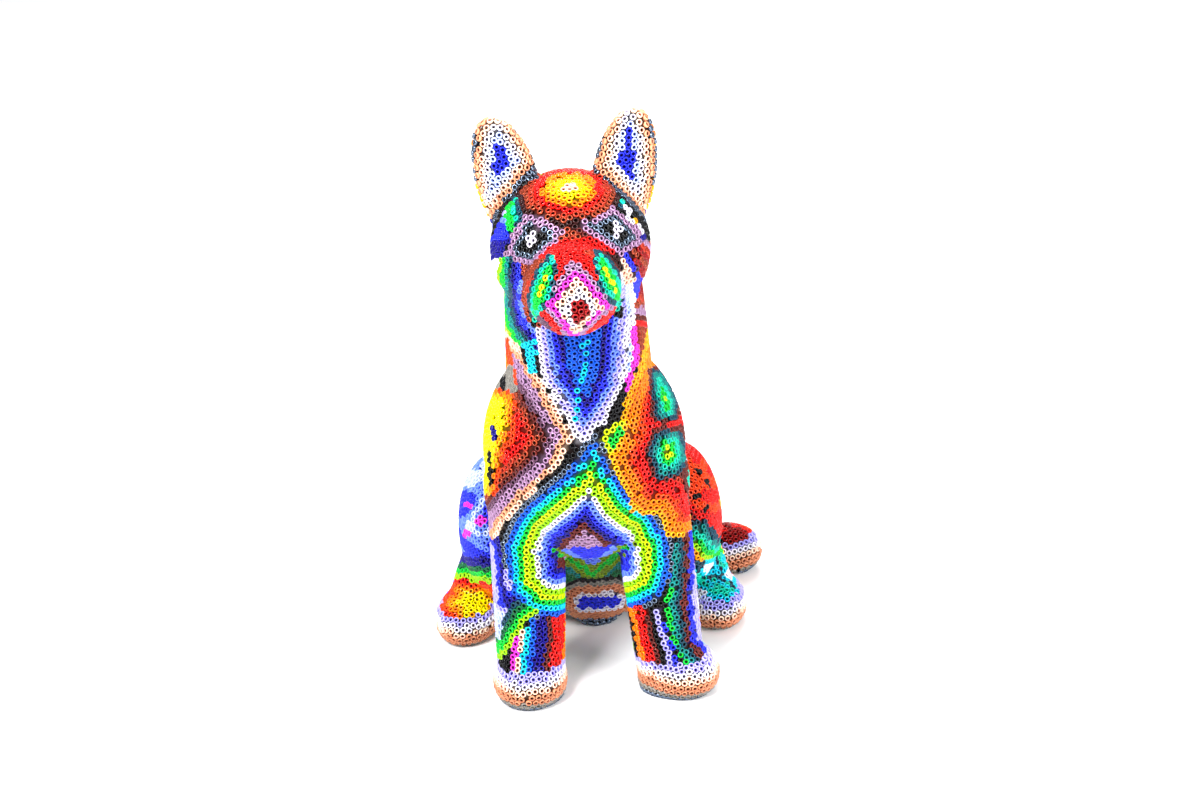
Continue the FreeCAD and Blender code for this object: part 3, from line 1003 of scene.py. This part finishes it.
def glass_material():
    """Pressed glass: its own colour, lustre and gloss from each bead, under a clear coat."""
    material, tree, shader = shader_material("seed_bead_glass")
    colour = attribute_node(tree, "bead_colour")
    lustre = attribute_node(tree, "lustre")
    detail = detail_node(tree, 900, 0.12)
    tree.links.new(colour.outputs["Color"], shader.inputs["Base Color"])
    tree.links.new(lustre.outputs["Fac"], shader.inputs["Metallic"])
    gloss = tree.nodes.new("ShaderNodeMapRange")
    gloss.inputs["To Min"].default_value = 0.14
    gloss.inputs["To Max"].default_value = 0.34
    tree.links.new(detail.outputs["Mask"], gloss.inputs["Value"])
    tree.links.new(gloss.outputs["Result"], shader.inputs["Roughness"])
    tree.links.new(detail.outputs["Normal"], shader.inputs["Normal"])
    shader.inputs["Specular IOR Level"].default_value = 0.22
    shader.inputs["Coat Weight"].default_value = 0.14
    shader.inputs["Coat Roughness"].default_value = 0.06
    return material


def wax_material():
    """Dark sticky wax, with painted light coloured by the glass that lies in it."""
    material, tree, shader = shader_material("campeche_wax")
    colour = attribute_node(tree, "wax_and_bounce_light")
    detail = detail_node(tree, 450, 0.5)
    gloss = tree.nodes.new("ShaderNodeMapRange")
    gloss.inputs["To Min"].default_value = 0.3
    gloss.inputs["To Max"].default_value = 0.6
    tree.links.new(colour.outputs["Color"], shader.inputs["Base Color"])
    tree.links.new(detail.outputs["Mask"], gloss.inputs["Value"])
    tree.links.new(gloss.outputs["Result"], shader.inputs["Roughness"])
    tree.links.new(detail.outputs["Normal"], shader.inputs["Normal"])
    shader.inputs["Specular IOR Level"].default_value = 0.1
    return material


def wood_material(name, pale, dark):
    """Carved wood: rings of a trunk that stands upright, stretched along the grain."""
    material, tree, shader = shader_material(name)
    spot = tree.nodes.new("ShaderNodeTexCoord")
    stretch = tree.nodes.new("ShaderNodeMapping")
    stretch.inputs["Scale"].default_value = (60, 60, 6)
    rings = tree.nodes.new("ShaderNodeTexWave")
    rings.wave_type = "RINGS"
    rings.rings_direction = "Z"
    rings.inputs["Scale"].default_value = 1.2
    rings.inputs["Distortion"].default_value = 3
    ramp = tree.nodes.new("ShaderNodeValToRGB")
    ramp.color_ramp.elements[0].color = (*srgb(pale), 1)
    ramp.color_ramp.elements[1].color = (*srgb(dark), 1)
    detail = detail_node(tree, 700, 0.4)
    tree.links.new(spot.outputs["Object"], stretch.inputs["Vector"])
    tree.links.new(stretch.outputs["Vector"], rings.inputs["Vector"])
    tree.links.new(rings.outputs["Fac"], ramp.inputs["Fac"])
    tree.links.new(ramp.outputs["Color"], shader.inputs["Base Color"])
    tree.links.new(detail.outputs["Normal"], shader.inputs["Normal"])
    shader.inputs["Roughness"].default_value = 0.7
    return material


def floor_material():
    material, tree, shader = shader_material("pale_floor")
    detail = detail_node(tree, 60, 0.05)
    blend = tree.nodes.new("ShaderNodeMix")
    blend.data_type = "RGBA"
    blend.inputs["A"].default_value = (0.93, 0.93, 0.95, 1)
    blend.inputs["B"].default_value = (0.95, 0.95, 0.96, 1)
    tree.links.new(detail.outputs["Mask"], blend.inputs["Factor"])
    tree.links.new(blend.outputs["Result"], shader.inputs["Base Color"])
    shader.inputs["Roughness"].default_value = 0.6
    return material


GLASS_LOOK, WAX_LOOK = glass_material(), wax_material()

# ---------------- pieces
TINT_SPREAD = 0.05
MOST_BEADS = 1950    # in one piece, which keeps it under the limit on triangles


def make_bead_pieces():
    """Each part's beads in bands from the floor up, as many as its number of beads needs."""
    colours = GLASS_COLOUR[tint] * rng.normal(1, TINT_SPREAD, (len(tint), 1)).clip(0.85, 1.12)
    # hole colours: painted shade inside the hole, and the lining's own colour in colour-lined beads
    hole_lining_and_shade = GLASS_HOLE_LINING_AND_SHADE[tint]
    for number, part in enumerate(PARTS):
        mine = np.nonzero(owner == number)[0]
        mine = mine[np.argsort(places[mine, 2], kind="stable")]
        bands = math.ceil(len(mine) / MOST_BEADS)
        for band, some in enumerate(np.array_split(mine, bands), start=1):
            name = "%s_bead_band_%d" % (part, band)
            mesh = bead_mesh(name, places[some], facings[some], colours[some].clip(0, 1), hole_lining_and_shade[some],
                             {"lustre": GLASS_METAL[tint[some]]})
            mesh.materials.append(GLASS_LOOK)
            piece = add_object(name, mesh)
            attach(piece, "root")
            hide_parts(part + "_beads")


# share of the nearest bead's colour painted into the wax as coloured light from the glass
BOUNCE_LIGHT_SHARE = 0.12
DARK_WAX = 0.5 * srgb("1c0e0a")


def finish_skin():
    """Wax between the beads: its own dark colour, with painted light coloured by the nearest bead."""
    tree = KDTree(len(places))
    for number, place in enumerate(places):
        tree.insert(place, number)
    tree.balance()
    nearest = np.array([tree.find(point)[1] for point in skin_points])
    # dark wax plus painted coloured light from the nearest bead
    wax_and_bounce_light = BOUNCE_LIGHT_SHARE * GLASS_COLOUR[tint[nearest]] + DARK_WAX
    wax_and_bounce_light = np.concatenate([wax_and_bounce_light, np.ones((len(wax_and_bounce_light), 1))], 1)
    layer = skin.data.color_attributes.new("wax_and_bounce_light", "FLOAT_COLOR", "POINT")
    layer.data.foreach_set("color", wax_and_bounce_light.astype(np.float32).ravel())
    skin.data.materials.append(WAX_LOOK)
    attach(skin, "root")
    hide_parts(*[part + "_wax" for part in PARTS])


def finish_wood():
    """Bare wood for the carved cores and paler wood for the dowels."""
    core = wood_material("carved_copal", "c89a68", "9a6a40")
    pin = wood_material("dowel_pine", "e0bd88", "c29660")
    for name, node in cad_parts.items():
        if name.endswith("_core") or name.endswith("_dowel"):
            node.data.materials.clear()
            node.data.materials.append(pin if name.endswith("_dowel") else core)


make_bead_pieces()
finish_skin()
finish_wood()


# ---------------- floor and light
ROOM_LIGHT = 0.76


def make_floor():
    """A square of pale floor just under the figure."""
    half = 1.5
    corners = np.array([(-half, -half, 0), (half, -half, 0), (half, half, 0), (-half, half, 0)], float)
    floor = add_object("floor", mesh_from("floor", corners, np.array([[0, 1, 2, 3]])))
    floor.data.materials.append(floor_material())


def soft_light(name, place, aim, size, power):
    """A square lamp at a place, pointed at aim; both in metres."""
    lamp = bpy.data.lights.new(name, "AREA")
    lamp.size = size
    lamp.energy = power
    thing = bpy.data.objects.new(name, lamp)
    thing.location = place
    thing.rotation_mode = "QUATERNION"
    thing.rotation_quaternion = (Vector(aim) - Vector(place)).to_track_quat("-Z", "Y")
    bpy.context.scene.collection.objects.link(thing)


def make_world():
    """A white room that looks brighter than the light it gives."""
    world = bpy.data.worlds.new("white_room")
    world.use_nodes = True
    nodes, links = world.node_tree.nodes, world.node_tree.links
    background = nodes["Background"]
    background.inputs["Color"].default_value = (1, 1, 1, 1)
    background.inputs["Strength"].default_value = ROOM_LIGHT
    seen = nodes.new("ShaderNodeBackground")
    seen.inputs["Color"].default_value = (1, 1, 1, 1)
    path, either = nodes.new("ShaderNodeLightPath"), nodes.new("ShaderNodeMixShader")
    links.new(path.outputs["Is Camera Ray"], either.inputs["Fac"])
    links.new(background.outputs["Background"], either.inputs[1])
    links.new(seen.outputs["Background"], either.inputs[2])
    links.new(either.outputs["Shader"], nodes["World Output"].inputs["Surface"])
    bpy.context.scene.world = world


make_floor()
make_world()
CHEST = (0, 0, 0.09)
soft_light("key", (-0.35, -0.55, 0.75), CHEST, 0.3, 12.5)
soft_light("fill", (0.6, -0.55, 0.5), CHEST, 0.5, 7.5)
soft_light("rim", (0.1, 0.7, 0.7), (0, 0, 0.1), 0.5, 5)
bpy.context.scene.view_settings.view_transform = "Standard"
